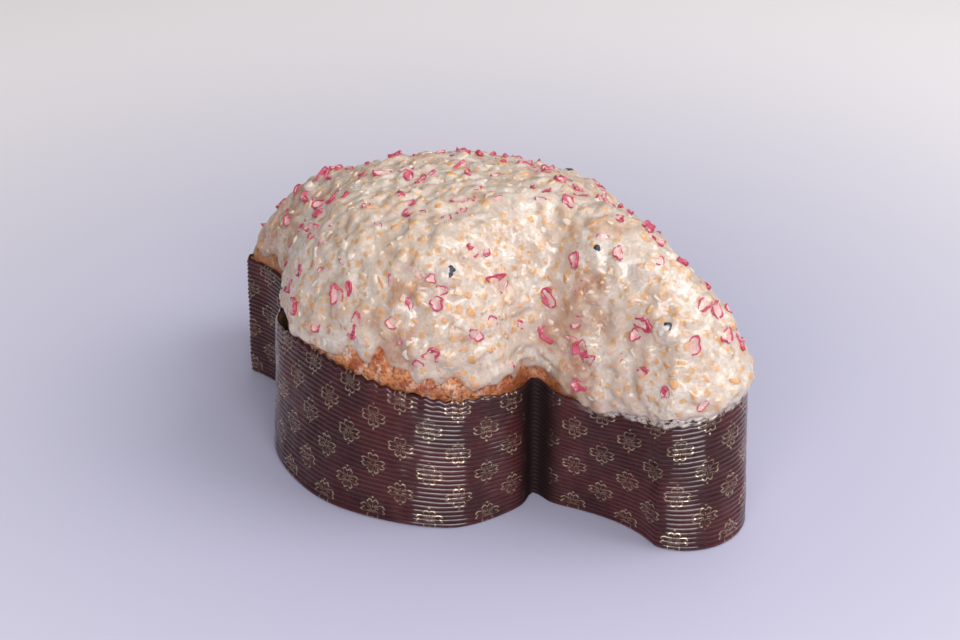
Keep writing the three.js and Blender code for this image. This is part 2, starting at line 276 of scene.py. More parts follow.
flat_run = np.column_stack([PLAN, np.zeros(AROUND)])
wander = RIM_WAVE["wander"] * grain(flat_run, size=0.03, seed=3)
rim_wave = RIM_WAVE["depth"] * np.sin(RUN[:-1] / RIM_WAVE["pitch"] + wander)
rim_wave = rim_wave * (RIM_WAVE["least"] + grain(flat_run, size=0.02, seed=4))
rim_wave = rim_wave + RIM_DROOP * grain(flat_run, size=0.012, seed=5)

# The print: columns of rosettes, every other one set half a step higher, drawn in thin gold lines.
PRINT_COLUMN = 0.01325
PRINT_ROW = 0.0219
PRINT_LIFT = 0.3
ROSETTE = {"petals": 4, "radius": 0.0052, "wide": 1.14, "high": 0.88, "rays": 3}
LINE = 0.00028
RAY_START = (0.0006, 0.0009)
RAY_END = (0.0024, 0.0028)
DOT = {"above": 0.0058, "edge": (0.0003, 0.0006)}

BURGUNDY = (0.046, 0.0088, 0.0102)
BURGUNDY_DARK = (0.020, 0.0048, 0.0062)
# Painted sheen: the lighter red laid on the crests.
BURGUNDY_CREST_SHEEN = (0.105, 0.024, 0.023)
# Painted shade for the folds at the tail's notches.
CREASE_PAINTED_SHADE = (0.016, 0.0055, 0.0062)
SCUFF_GREY = (0.20, 0.12, 0.09)
GOLD = (0.60, 0.48, 0.31)
PAPER_TAN = (0.50, 0.33, 0.20)
PAPER_BROWN = (0.36, 0.22, 0.12)
# A film of glaze has run over the paper at the tail's rim.
FILM_CREAM = (0.62, 0.55, 0.50)
FILM = {"along": (0.066, 0.095), "low": 0.0042, "high": 0.0022, "wander": 0.008}


def case_rows():
    """Rings of points up the ridged outside, over the rim, down the inside and back to the start.

    The wrap holds the way along the strip, the height and the painted shade of the creases. The
    strip is stretched to a whole number of pairs of print columns, so that the print closes round the case.
    """
    rows, heights = [], []
    total = RIDGES * RIDGE_ROWS
    for k in range(total + 1):
        share = k / total
        height = rim_height * share + rim_wave * smooth(share, RIM_WAVE["from"], 1.0)
        flat = plan_ring(0.0, height)
        dents = DENT["depth"] * grain(flat * (1, 1, DENT["upright"]), size=0.022, seed=6)
        dents = dents + DENT["fine"] * DENT["depth"] * grain(flat, size=0.006, seed=7)
        dents = dents * smooth(share, 0.0, DENT["flat_foot"])
        ridge = RIDGE["depth"] * (abs(math.sin(math.pi * share * RIDGES)) - RIDGE["middle"])
        sharpness = RIDGE["least"] + RIDGE["change"] * grain(flat, size=0.02, seed=8)
        rows.append(plan_ring(ridge * sharpness + dents, height))
        heights.append(share * CASE_HEIGHT)
    top = rows[-1][:, 2]
    rows.append(plan_ring(-PAPER_THICKNESS * RIM_ROUND["inwards"], top + RIM_ROUND["height"]))
    heights.append(CASE_HEIGHT)
    for k in range(INNER_ROWS + 1):
        share = 1 - (k / INNER_ROWS) ** INNER_POWER
        rows.append(plan_ring(-PAPER_THICKNESS, top * share))
        heights.append(CASE_HEIGHT + (LINING if k else 0.0))
    rows.append(rows[0].copy())
    heights.append(CASE_HEIGHT + LINING)
    rows = np.array(rows)
    wrap = np.zeros((len(rows), AROUND + 1, 3))
    pairs = round(RUN[-1] / PRINT_COLUMN / 2)
    wrap[:, :, 0] = RUN[None, :] * (2 * pairs * PRINT_COLUMN / RUN[-1])
    wrap[:, :, 1] = np.array(heights)[:, None]
    shade = at_tail_notches(MOULD, CREASE["shade"], 1.0)
    wrap[:, :, 2] = np.append(shade, shade[0])[None, :]
    return rows, wrap


class Tone:
    """A socket of a finish. Sums, products and powers of tones add Math nodes to the finish."""

    def __init__(self, tree, socket=None):
        self.tree = tree
        self.socket = socket

    def node(self, kind, settings=None, values=None, out=0):
        """Adds any node: its settings first, then the values and links of its sockets."""
        made = self.tree.nodes.new(kind)
        for name, value in (settings or {}).items():
            setattr(made, name, value)
        feed(self.tree, made, values or {})
        return Tone(self.tree, made.outputs[out])

    def math(self, operation, *values):
        """A Math node on tones and numbers, in the order of its sockets."""
        return self.node("ShaderNodeMath", {"operation": operation}, dict(enumerate(values)))

    def __add__(self, other):
        return self.math("ADD", self, other)

    def __radd__(self, other):
        return self.math("ADD", other, self)

    def __sub__(self, other):
        return self.math("SUBTRACT", self, other)

    def __rsub__(self, other):
        return self.math("SUBTRACT", other, self)

    def __mul__(self, other):
        return self.math("MULTIPLY", self, other)

    def __rmul__(self, other):
        return self.math("MULTIPLY", other, self)

    def __truediv__(self, other):
        return self.math("DIVIDE", self, other)

    def __rtruediv__(self, other):
        return self.math("DIVIDE", other, self)

    def __pow__(self, other):
        return self.math("POWER", self, other)

    def __abs__(self):
        return self.math("ABSOLUTE", self)

    def floor(self):
        """The whole number below."""
        return self.math("FLOOR", self)

    def from_whole(self):
        """What is left after the nearest whole number is taken away, from minus a half to a half."""
        return self - self.math("ROUND", self)

    def rise(self, low, high):
        """Nought below `low`, one above `high`, with a soft rise between them."""
        settings = {"interpolation_type": "SMOOTHSTEP", "clamp": True}
        values = {"Value": self, "From Min": low, "From Max": high}
        return self.node("ShaderNodeMapRange", settings, values)

    def mix(self, without, full):
        """A colour between two, with this tone as the share of the second."""
        values = {0: self, 6: without, 7: full}
        return self.node("ShaderNodeMix", {"data_type": "RGBA"}, values, out=2)

    def axis(self, number):
        """One of the three numbers of a place or of an attribute."""
        return self.node("ShaderNodeSeparateXYZ", {}, {0: self}, out=number)

    def attribute(self, name, out="Fac"):
        """What the mesh keeps under a name at its vertices or corners."""
        return self.node("ShaderNodeAttribute", {"attribute_name": name}, out=out)

    def noise(self, scale, detail=3.0, roughness=0.5, stretch=None):
        """A noise texture at places; `scale` is in lumps for each metre."""
        place = self
        if stretch:
            values = {"Vector": self, "Scale": stretch}
            place = self.node("ShaderNodeMapping", {"vector_type": "POINT"}, values)
        values = {"Vector": place, "Scale": scale, "Detail": detail, "Roughness": roughness}
        return self.node("ShaderNodeTexNoise", {}, values)

    def cells(self, scale, out="Distance"):
        """The distance to the nearest of many scattered points, or the colour of that point."""
        values = {"Vector": self, "Scale": scale}
        return self.node("ShaderNodeTexVoronoi", {"feature": "F1"}, values, out=out)

    def bump(self, distance, strength):
        """The surface's direction, roughened by this tone as a height."""
        values = {"Height": self, "Distance": distance, "Strength": strength}
        return self.node("ShaderNodeBump", {}, values)


def feed(tree, node, values):
    """Sets or links sockets of a node."""
    for key, value in values.items():
        if isinstance(value, Tone):
            tree.links.new(value.socket, node.inputs[key])
        else:
            socket = node.inputs[key]
            four = socket.type == "RGBA" and len(value) == 3
            socket.default_value = (*value, 1) if four else value


def new_finish(name):
    """A new material, its shader, and a tone that holds places on the object in metres."""
    material = bpy.data.materials.new(name)
    material.use_nodes = True
    shader = material.node_tree.nodes["Principled BSDF"]
    place = Tone(material.node_tree).node("ShaderNodeTexCoord", out="Object")
    return material, shader, place


def flower_print(along, up):
    """Where the print has gold: the outline of each rosette, its rays, and a dot above and below."""
    column = along / PRINT_COLUMN
    number = column.floor()
    odd = number.math("MODULO", number, 2.0)
    across = (column - number - 0.5) * PRINT_COLUMN
    row = up / PRINT_ROW + 0.5 * odd + PRINT_LIFT
    above = (row - row.floor() - 0.5) * PRINT_ROW
    wide = across / ROSETTE["wide"]
    high = above / ROSETTE["high"]
    radius = (wide * wide + high * high) ** 0.5
    sector = high.math("ARCTAN2", high, wide) * (ROSETTE["petals"] / (2 * math.pi))
    turn = sector.from_whole()
    aside = abs(turn)
    petal = 1.0 - 0.66 * (2 * aside) ** 4 - 0.22 * (1 - aside.rise(0.0, 0.15))
    outline = 1 - abs(radius / ROSETTE["radius"] - petal).rise(0.02, 0.085)
    rays = 1 - abs((turn * ROSETTE["rays"]).from_whole() * radius).rise(LINE * 0.3, LINE * 0.9)
    rays = rays * radius.rise(*RAY_START) * (1 - radius.rise(*RAY_END))
    from_dot = abs(above) - DOT["above"]
    dots = 1 - ((across * across + from_dot * from_dot) ** 0.5).rise(*DOT["edge"])
    return outline.math("MAXIMUM", outline, rays.math("MAXIMUM", rays, dots))


def paper_finish():
    """Glossy printed paper: its crests are scuffed and carry a painted sheen, its creases painted shade,
    and the gold is metal.
    """
    material, shader, place = new_finish("case_paper_burgundy")
    wrap = place.attribute("wrap", out="Vector")
    up = wrap.axis(1)
    # Painted shade: the folds at the tail's notches are darkened, without gold or gloss.
    clear_of_painted_shade = 1 - wrap.axis(2).rise(0.15, 0.95)
    phase = up * (math.pi * RIDGES / CASE_HEIGHT)
    crest = abs(phase.math("SINE", phase))
    upper = phase.math("FRACT", phase / math.pi).rise(0.24, 0.56)
    outside = 1 - up.rise(CASE_HEIGHT + 0.1 * LINING, CASE_HEIGHT + 0.4 * LINING)
    worn = place.noise(260.0, 4.0, 0.6).rise(0.32, 0.62)
    gold = flower_print(wrap.axis(0), up) * (0.35 + 0.65 * crest.rise(0.05, 0.6))
    gold = gold * (0.35 + 0.6 * worn) * outside * clear_of_painted_shade
    tone = place.noise(60.0, 5.0, 0.65)
    # Painted sheen: the crests are lightened, more in broad patches, as reflections would light them.
    painted_sheen = place.noise(26.0, 3.0, 0.5).rise(0.48, 0.62)
    body = tone.rise(0.35, 0.7).mix(BURGUNDY_DARK, BURGUNDY)
    body = (crest * (0.25 + 0.5 * painted_sheen)).mix(body, BURGUNDY_CREST_SHEEN)
    scuffs = place.noise(900.0, 4.0, 0.7).rise(0.66, 0.78) * place.noise(90.0).rise(0.55, 0.7)
    body = (scuffs * crest * 0.6).mix(body, SCUFF_GREY)
    fibres = place.noise(500.0, 5.0, 0.6, (1, 1, 6)).rise(0.3, 0.75)
    colour = gold.mix(clear_of_painted_shade.mix(CREASE_PAINTED_SHADE, body), GOLD)
    colour = outside.mix(fibres.mix(PAPER_TAN, PAPER_BROWN), colour)
    film_edge = up + FILM["wander"] * (place.noise(180.0, 4.0, 0.6) - 0.5)
    film = film_edge.rise(CASE_HEIGHT - FILM["low"], CASE_HEIGHT - FILM["high"])
    film = film * place.axis(0).rise(*FILM["along"]) * place.noise(420.0, 4.0, 0.6).rise(0.36, 0.50)
    colour = (film * 0.75).mix(colour, FILM_CREAM)
    roughness = 0.11 + 0.17 * tone + 0.06 * gold + 0.30 * (1 - upper) + 0.2 * (1 - outside)
    feed(material.node_tree, shader, {
        "Base Color": colour, "Roughness": roughness + 0.5 * (1 - clear_of_painted_shade), "Metallic": 0.85 * gold,
        "Normal": place.noise(2600.0, 3.0, 0.6).bump(0.00006, 0.5),
        "Coat Weight": upper * outside * clear_of_painted_shade * (0.42 + 0.5 * worn), "Coat Roughness": 0.075,
        "IOR": 1.36, "Specular IOR Level": 0.35,
    })
    return material


case_paper = paper_finish()
case_wall = finished(wrapped(*case_rows()), "case_wall", case_paper)
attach(case_wall, "root")
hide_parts("paper_case")

# ---- Case base ----
# The bottom of the mould is a flat sheet of the same paper, cut to the dove's outline and glued inside
# the wall. It is seen from below only.
BASE_THICKNESS = 0.0014
BASE_GAP = 0.0003
SPINE_SHARE = 0.72


def spine_of(ring, height):
    """The middle line that a ring closes on, one point for each point of the ring."""
    x = ring[:, 0] * SPINE_SHARE
    return np.column_stack([x, -middle_bend(x), np.broadcast_to(height, x.shape)])


def base_rows():
    """Rings from the spine of the underside out to its edge, up, and in to the spine of the top."""
    low = plan_ring(-PAPER_THICKNESS - BASE_GAP, 0.0)
    high = plan_ring(-PAPER_THICKNESS - BASE_GAP, BASE_THICKNESS)
    return np.array([spine_of(low, 0.0), low, high, spine_of(high, BASE_THICKNESS)])


rows = base_rows()
plain_wrap = np.full((len(rows), AROUND + 1, 3), CASE_HEIGHT + LINING)
case_bottom = finished(wrapped(rows, plain_wrap), "case_bottom", case_paper)
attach(case_bottom, "root")
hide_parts("case_base")

# ---- Crust ----
# The risen crumb fills the mould and stands over its rim as a dome, with a deep fold at each notch. Its
# skin is baked golden brown, darkest where it leaves the paper, and shines a little with butter.
CRUST_ROWS = 70
WALL_GAP = 0.0005
SHOULDER_DROP = 0.003
SHOULDER_WIDTH = {"body": 0.0313, "tail": 0.0213, "start": 0.040, "end": 0.110}
SHOULDER_POWER = 2.04
CROWN = {
    "peak": 0.069, "at": 0.0615,
    "head_drop": 0.046, "head_span": 0.1925, "head_power": 3.25,
    "tail_drop": 0.0485, "tail_span": 0.0755, "tail_power": 1.67,
}
WING_REACH = 0.094
# What is left of the crown's height at the ends of the wings.
NEAR_WING = 0.78
FAR_WING = 0.25
# The crust has shrunk from the wall on the near wing, and lies behind the creases of the wall.
PULLED_AWAY = (((-0.072, -0.072), 0.015, 0.0045),)
BEHIND_CREASE = {"reach": 0.0060, "depth": 0.0092}
HEAD_FOLDS = (
    ((-0.087, -0.034), 0.010, 0.0060),
    ((-0.078, -0.023), 0.011, 0.0062),
    ((-0.069, -0.012), 0.011, 0.0030),
    ((-0.087, 0.034), 0.010, 0.0040),
    ((-0.078, 0.023), 0.011, 0.0035),
)
FOLD_FOOT = 0.2
RING_POWER = 2.6
PROFILE_POINTS = 90
SPRING_PASSES = 12
SPRING_STEP = 4
NORMAL_PASSES = 14
EASE_PASSES = 24
CRUST_SIDE_DROP = 0.001
CRUST_RELIEF = 0.0008
RELIEF_FADE = (0.01, 0.05)
CRUST_BULGE = (((0.016, -0.091), 0.030, 0.0005), ((0.057, -0.038), 0.013, 0.0004))
BULGE_RING = {"at": 0.10, "width": 0.06}

inset = -(PAPER_THICKNESS + WALL_GAP) - bumps(PULLED_AWAY, *MOULD.T)
inset -= at_tail_notches(MOULD, BEHIND_CREASE["reach"], BEHIND_CREASE["depth"])
spring = plan_ring(inset, rim_height, MOULD)
spring[:, 2] -= SHOULDER_DROP
spring = relaxed(spring, SPRING_PASSES)
spring_line = spring[:, :2]


def distance_in(x, y):
    """The distance in plan from points to the line the dome springs from."""
    start = spring_line[::SPRING_STEP]
    run = np.roll(start, -1, 0) - start
    nearest = np.full(x.shape, 1.0)
    for (ax, ay), (dx, dy) in zip(start, run):
        along = np.clip(((x - ax) * dx + (y - ay) * dy) / (dx * dx + dy * dy), 0, 1)
        nearest = np.minimum(nearest, np.hypot(x - ax - along * dx, y - ay - along * dy))
    return nearest


def dome_height(x, y):
    """The height of the crumb's surface over a point of the plan."""
    to_head = np.maximum(0, (CROWN["at"] - x) / CROWN["head_span"])
    to_tail = np.maximum(0, (x - CROWN["at"]) / CROWN["tail_span"])
    head_drop = CROWN["head_drop"] * to_head ** CROWN["head_power"]
    tail_drop = CROWN["tail_drop"] * to_tail ** CROWN["tail_power"]
    left = np.where(y < 0, NEAR_WING, FAR_WING)
    crown = (CROWN["peak"] - (head_drop + tail_drop)) * (1 - (1 - left) * (y / WING_REACH) ** 2)
    tailwards = smooth(x, SHOULDER_WIDTH["start"], SHOULDER_WIDTH["end"])
    width = SHOULDER_WIDTH["body"] + (SHOULDER_WIDTH["tail"] - SHOULDER_WIDTH["body"]) * tailwards
    inward = np.minimum(1, distance_in(x, y) / width)
    rise = (1 - (1 - inward) ** SHOULDER_POWER) ** (1 / SHOULDER_POWER)
    foot = CASE_HEIGHT + bumps(RIM_SWELLS, x, y) - SHOULDER_DROP
    folds = bumps(HEAD_FOLDS, x, y) * smooth(inward, 0.0, FOLD_FOOT)
    return foot + (CASE_HEIGHT + crown - foot) * rise - folds


def running_length(profiles):
    """The length along each column of points, from its first one."""
    steps = np.linalg.norm(np.diff(profiles, axis=0), axis=2)
    return np.concatenate([np.zeros((1, AROUND)), np.cumsum(steps, axis=0)])


def resampled(profiles, start, count):
    """Each column's points, evenly spaced by length from its own start to its end."""
    run = running_length(profiles)
    even = np.empty((count, AROUND, 3))
    for i in range(AROUND):
        at = np.linspace(start[i], run[-1, i], count)
        for axis in range(3):
            even[:, i, axis] = np.interp(at, run[:, i], profiles[:, i, axis])
    return even


def dome_profiles(count):
    """For every point of the spring line, points of the dome from there to the spine, evenly spaced."""
    shares = np.linspace(0, 1, PROFILE_POINTS)
    reach = 1 - shares**RING_POWER
    x = spring[None, :, 0] * (SPINE_SHARE + (1 - SPINE_SHARE) * reach[:, None])
    middle = -middle_bend(x)
    y = middle + (spring[None, :, 1] - middle) * reach[:, None]
    z = dome_height(x, y)
    z[0] = spring[:, 2]
    return resampled(np.stack([x, y, z], axis=2), np.zeros(AROUND), count)


def surface_normals(rows):
    """Outward directions at every point of a grid of rings."""
    around = np.roll(rows, -1, 1) - np.roll(rows, 1, 1)
    up = np.gradient(rows, axis=0)
    normals = np.cross(around, up)
    length = np.linalg.norm(normals, axis=2, keepdims=True)
    normals = normals / np.maximum(length, 1e-12)
    normals[-1] = normals[-2]
    for _ in range(NORMAL_PASSES):
        normals = (np.roll(normals, 1, 1) + 2 * normals + np.roll(normals, -1, 1)) / 4
    return normals / np.linalg.norm(normals, axis=2, keepdims=True)


def eased(rows):
    """Rings with the fold over each corner softened, more so the further they lie from the first."""
    for k in range(1, len(rows) - 1):
        rows[k] = relaxed(rows[k], min(k, EASE_PASSES))
    return rows


def crust_rows():
    """Rings from the spine of the cake's foot out, up behind the wall, and over the dome."""
    normals = surface_normals(dome)
    relief = grain(dome, size=0.006, seed=11) + 0.5 * grain(dome, size=0.0025, seed=12)
    share = np.linspace(0, 1, CRUST_ROWS)[:, None]
    bulge = bumps(CRUST_BULGE, dome[..., 0], dome[..., 1])
    bulge = bulge * np.exp(-((share - BULGE_RING["at"]) / BULGE_RING["width"]) ** 2)
    lift = CRUST_RELIEF * relief * smooth(share, *RELIEF_FADE) + bulge
    top = dome + normals * lift[..., None]
    top[-1] = dome[-1]
    foot_height = BASE_THICKNESS + BASE_GAP
    foot = plan_ring(inset, foot_height, MOULD)
    side = spring - np.array([0, 0, CRUST_SIDE_DROP])
    return np.concatenate([[spine_of(foot, foot_height), foot, side], top[1:]])


dome = eased(dome_profiles(CRUST_ROWS))

CRUST_GOLD = (0.70, 0.28, 0.085)
CRUST_BROWN = (0.42, 0.105, 0.028)
CRUST_DARK = (0.15, 0.040, 0.018)
CRUST_PALE = (0.74, 0.55, 0.42)
CRUST_LOW = (0.27, 0.066, 0.022)
# Painted shade: towards the head the crust is darkened.
CRUST_HEAD_SHADE = (0.33, 0.135, 0.042)
LOW_BAND = (0.0655, 0.0725)
HEAD_SHADE_BAND = (-0.118, -0.092)


def crust_finish():
    """Baked skin: golden on brown, with pale torn wisps, darker by the paper, and with painted shade at the
    head.
    """
    material, shader, place = new_finish("crust_golden_brown")
    broad = place.noise(120.0, 4.0, 0.6)
    fine = place.noise(480.0, 5.0, 0.65)
    wisps = place.noise(230.0, 5.0, 0.7, (1, 1, 0.6))
    low = 1 - (place.axis(2) + 0.012 * (broad - 0.5)).rise(*LOW_BAND)
    # Painted shade, darkening the crust towards the head.
    head_shade = 1 - place.axis(0).rise(*HEAD_SHADE_BAND)
    colour = broad.rise(0.40, 0.60).mix(CRUST_BROWN, CRUST_GOLD)
    colour = (wisps.rise(0.51, 0.62) * 0.8).mix(colour, CRUST_PALE)
    colour = ((1 - fine.rise(0.36, 0.50)) * 0.75).mix(colour, CRUST_DARK)
    colour = (low * 0.5).mix(colour, CRUST_LOW)
    colour = (head_shade * 0.65).mix(colour, CRUST_HEAD_SHADE)
    pores = place.cells(700.0).rise(0.0, 0.35)
    height = fine * 0.6 + pores * 0.4
    feed(material.node_tree, shader, {
        "Base Color": colour, "Roughness": 0.38 + 0.3 * fine, "Normal": height.bump(0.002, 1.0),
        "Coat Weight": 0.6 * broad.rise(0.35, 0.6), "Coat Roughness": 0.14,
    })
    return material


crust = finished(wrapped(crust_rows()), "crust", crust_finish())
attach(crust, "root")
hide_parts("cake")

# ---- Glaze ----
# A thick creamy glaze is poured over the crown. It sets with an uneven skin, climbs over the nuts and
# flakes it holds, runs down in tongues and spills over the paper's rim round the tail.
GLAZE_ROWS = 160
GLAZE_THICKNESS = 0.0020
GLAZE_LIP = 0.0024
GLAZE_RISE = 0.0014
# Layers of noise: each has its depth, size and seed.
GLAZE_LUMPS = ((0.0014, 0.024, 23), (0.0014, 0.010, 24), (0.0014, 0.0052, 27))
TONGUES = ((0.0023, 0.009, 21), (0.0018, 0.0042, 22))
SAG_LOBES = ((1.3, 0.006, 25), (0.8, 0.0025, 26))
# Where the glaze stops short of the rim, where it spills over it, and where the crust shows through; at the
# head that patch is painted shade as well.
BARE_CRUST = (
    ((0.014, -0.091), 0.031, 0.0135),
    ((-0.128, -0.026), 0.022, 0.0085),
    ((0.055, -0.040), 0.014, 0.012),
    ((-0.051, 0.090), 0.024, 0.007),
    ((0.084, 0.030), 0.016, 0.005),
)
SPILL = (((0.132, -0.010), 0.034, 1.0), ((0.080, -0.040), 0.026, 0.8), ((-0.055, -0.090), 0.020, 0.35))
THIN_GLAZE_AND_HEAD_SHADE = (
    # The patch at the head is partly thin glaze and partly painted shade.
    ((-0.130, -0.020), 0.050, 1.15),
    ((0.014, -0.088), 0.028, 0.85),
    ((0.067, -0.033), 0.015, 1.5),
    ((-0.020, 0.088), 0.030, 0.6),
    ((0.090, 0.026), 0.020, 0.5),
)
# How the lower edge rises: tongues grow over bare crust, and where it is spilt it stays by the rim.
TONGUE_GROWTH = 0.003
SPILT_LOW = 0.8
LEAST_RISE = 0.0002
EDGE_PASSES = 2
EDGE_POINTS = 40
BARE_FULLY = 0.004
SPILL_OUT = {"depth": 0.0030, "from": 0.004, "reach": 0.011, "passes": 14}
SPILL_SAG = {"depth": 0.0022, "reach": 0.0028, "middle": 0.75, "least": 0.1, "most": 2.0}
THIN_RIM = {"share": 0.55, "reach": 0.006}
THIN_PATCH = {"uneven": 1.1, "size": 0.012, "from": 0.55}
UNDER_ROWS = 6
UNDER_DEPTH = 0.0012
SEAM_ROWS = 5
SEAM_PASSES = 6

spring_edge = np.column_stack([spring_line, np.zeros(AROUND)])
bare_edge = bumps(BARE_CRUST, *spring_line.T)
spilt = np.minimum(1, bumps(SPILL, *spring_line.T))


def glaze_base():
    """Evenly spaced rings of the dome from the glaze's lower edge up, and how far each lies from it."""
    fine = dome_profiles(2 * PROFILE_POINTS)
    tongues = grains(spring_edge, TONGUES) * (1 + bare_edge / TONGUE_GROWTH)
    rise = relaxed((GLAZE_RISE + bare_edge + tongues) * (1 - SPILT_LOW * spilt), EDGE_PASSES)
    level = rim_height + np.maximum(rise, LEAST_RISE)
    run = running_length(fine)
    columns = zip(level, fine[:EDGE_POINTS, :, 2].T, run[:EDGE_POINTS].T)
    start = np.array([np.interp(height, heights, lengths) for height, heights, lengths in columns])
    rows = eased(resampled(fine, start, GLAZE_ROWS))
    reach = (run[-1] - start)[None, :] * np.linspace(0, 1, GLAZE_ROWS)[:, None]
    return rows, reach


glaze_rows, glaze_reach = glaze_base()
glaze_normals = surface_normals(glaze_rows)


def glaze_skin():
    """The outer skin of the glaze before the toppings lift it."""
    lip = np.sqrt(1 - (1 - np.clip(glaze_reach / GLAZE_LIP, 0, 1)) ** 2)
    thick = grains(glaze_rows, GLAZE_LUMPS, GLAZE_THICKNESS)
    thinned = THIN_RIM["share"] * np.minimum(1, bare_edge / BARE_FULLY)
    thick = thick * (1 - thinned * np.exp(-glaze_reach / THIN_RIM["reach"]))
    skin = glaze_rows + glaze_normals * (thick * lip)[..., None]
    past = np.maximum(0, glaze_reach - SPILL_OUT["from"])
    out = SPILL_OUT["depth"] * spilt[None, :] * np.exp(-past**2 / SPILL_OUT["reach"] ** 2)
    out_ring = outward(relaxed(PLAN, SPILL_OUT["passes"]))
    out_ring /= np.hypot(*out_ring.T)[:, None]
    lobes = grains(spring_edge, SAG_LOBES, SPILL_SAG["middle"])
    lobes = np.clip(lobes, SPILL_SAG["least"], SPILL_SAG["most"])
    sag = SPILL_SAG["depth"] * (spilt * lobes)[None, :]
    sag = sag * np.exp(-(glaze_reach / SPILL_SAG["reach"]) ** 2)
    skin[..., :2] += out[..., None] * out_ring
    skin[..., 2] -= sag
    skin[-1] = glaze_rows[-1] + (0, 0, GLAZE_THICKNESS)
    return skin


skin = glaze_skin()
skin_normals = surface_normals(skin)

FLAKES = 215
NUTS = 1500
LUMPS = 700
# Berries: the place in plan and the radius of each.
BERRIES = (
    ((0.025, -0.0625), 0.0041),
    ((0.1075, -0.024), 0.0049),
    ((0.005, 0.054), 0.004),
    ((0.0685, -0.0195), 0.0034),
    ((-0.040, 0.076), 0.0043),
    ((0.020, 0.078), 0.0039),
)
NUT_SIZES = (0.0007, 0.0009, 0.0012, 0.0017, 0.0021)
FLAKE_SIZES = (0.0020, 0.0042)
FLAKE_ROOM = 0.0022
TRIES_PER_PLACE = 6
# How far round a topping the glaze is raised, and how high, in the topping's own sizes.
RAISED = {"nut": (1.2, 0.42), "flake": (1.1, 0.16), "berry": (1.25, 0.5)}
LUMP = {"reach": 0.0021, "height": 0.0006}
RAISED_SPREAD = 1.25
RAISED_LIMIT = 0.006
RAISED_FROM = 0.002


def scatter(count, spacing, seed, rows_from=6, avoid=()):
    """Places on the glaze, spread by area and clear of others, with the direction out of it there."""
    draw = np.random.default_rng(seed)
    field = skin[rows_from:-2]
    across = np.roll(field, -1, 1)[:-1] - field[:-1]
    up = field[1:] - field[:-1]
    area = np.linalg.norm(np.cross(across, up), axis=2)
    tries = count * TRIES_PER_PLACE
    chosen = draw.choice(area.size, size=tries, p=(area / area.sum()).ravel())
    jitter = draw.random((tries, 2))
    places = []
    taken = np.array(avoid).reshape(-1, 4)
    for cell, (s, t) in zip(chosen, jitter):
        k, i = divmod(int(cell), AROUND)
        point = field[k, i] + across[k, i] * s + up[k, i] * t
        away = np.linalg.norm(taken[:, :3] - point, axis=1)
        if (away < taken[:, 3] + spacing / 2).any():
            continue
        taken = np.vstack([taken, [*point, spacing / 2]])
        places.append((point, skin_normals[k + rows_from, i]))
        if len(places) == count:
            break
    return places


def on_skin(x, y):
    """The point of the glaze over a place of the plan, and the direction out of it there."""
    flat = skin[:, :, :2].reshape(-1, 2)
    at = int(np.argmin(((flat - (x, y)) ** 2).sum(1)))
    k, i = divmod(at, AROUND)
    return skin[k, i], skin_normals[k, i]


berry_places = [(*on_skin(*at), radius) for at, radius in BERRIES]
berry_taken = [(*point, radius) for point, _, radius in berry_places]
flake_places = scatter(FLAKES, spacing=0.0056, seed=31, rows_from=10, avoid=berry_taken)
flake_taken = berry_taken + [(*point, FLAKE_ROOM) for point, _ in flake_places]
nut_places = scatter(NUTS, spacing=0.0024, seed=32, avoid=flake_taken)
lump_places = scatter(LUMPS, spacing=0.0040, seed=36)
draw = random.Random(33)
nut_sizes = [draw.choice(NUT_SIZES) for _ in nut_places]
flake_sizes = [draw.uniform(*FLAKE_SIZES) for _ in flake_places]


def raised_marks():
    """Each place where the glaze is raised, with its reach, its height and its kind."""
    marks = [(point, LUMP["reach"], LUMP["height"], "lump") for point, _ in lump_places]
    sized = [("nut", place[0], size) for place, size in zip(nut_places, nut_sizes)]
    sized += [("flake", place[0], size) for place, size in zip(flake_places, flake_sizes)]
    sized += [("berry", point, radius) for point, _, radius in berry_places]
    for kind, point, size in sized:
        reach, height = RAISED[kind]
        marks.append((point, size * reach, size * height, kind))
    return marks


def lifted_skin():
    """The skin raised over each topping, with how near each point is to a nut and to a flake."""
    marks = raised_marks()
    tree = kdtree.KDTree(len(marks))
    for index, (point, *_) in enumerate(marks):
        tree.insert(Vector(point), index)
    tree.balance()
    lift = np.zeros(skin.shape[:2])
    near = {"nut": np.zeros(skin.shape[:2]), "flake": np.zeros(skin.shape[:2])}
    for k in range(len(skin)):
        for i in range(AROUND):
            for _, index, distance in tree.find_range(Vector(skin[k, i]), RAISED_LIMIT):
                _, reach, height, kind = marks[index]
                share = math.exp(-((distance / (reach * RAISED_SPREAD)) ** 2))
                lift[k, i] += height * share
                if kind in near:
                    near[kind][k, i] = max(near[kind][k, i], share)
    lift *= smooth(glaze_reach, 0.0, RAISED_FROM)
    lift[-1] = lift[-2]
    return skin + skin_normals * lift[..., None], near["nut"], near["flake"]


def closed_on_spine(rows):
    """The last rings blended with their mirror images beyond the spine, so that no seam shows."""
    mirrored = (-np.arange(AROUND)) % AROUND
    for _ in range(SEAM_PASSES):
        rows[-1] = (rows[-1] + rows[-1][mirrored]) / 2
        beyond = np.concatenate([rows, rows[-2:-1, mirrored]])
        middle = beyond[-SEAM_ROWS - 1:-1]
        rows[-SEAM_ROWS:] = (beyond[-SEAM_ROWS - 2:-2] + 2 * middle + beyond[-SEAM_ROWS:]) / 4
    rows[-1] = (rows[-1] + rows[-1][mirrored]) / 2
    return rows


def under_rows():
    """Rings of the hidden underside, from the spine inside the crumb out to the glaze's lower edge."""
    picks = np.linspace(GLAZE_ROWS - 1, 0, UNDER_ROWS + 1).astype(int)
    rows = [glaze_rows[k] - glaze_normals[k] * UNDER_DEPTH for k in picks[1:]]
    return [glaze_rows[-1] - np.array([0, 0, UNDER_DEPTH])] + rows


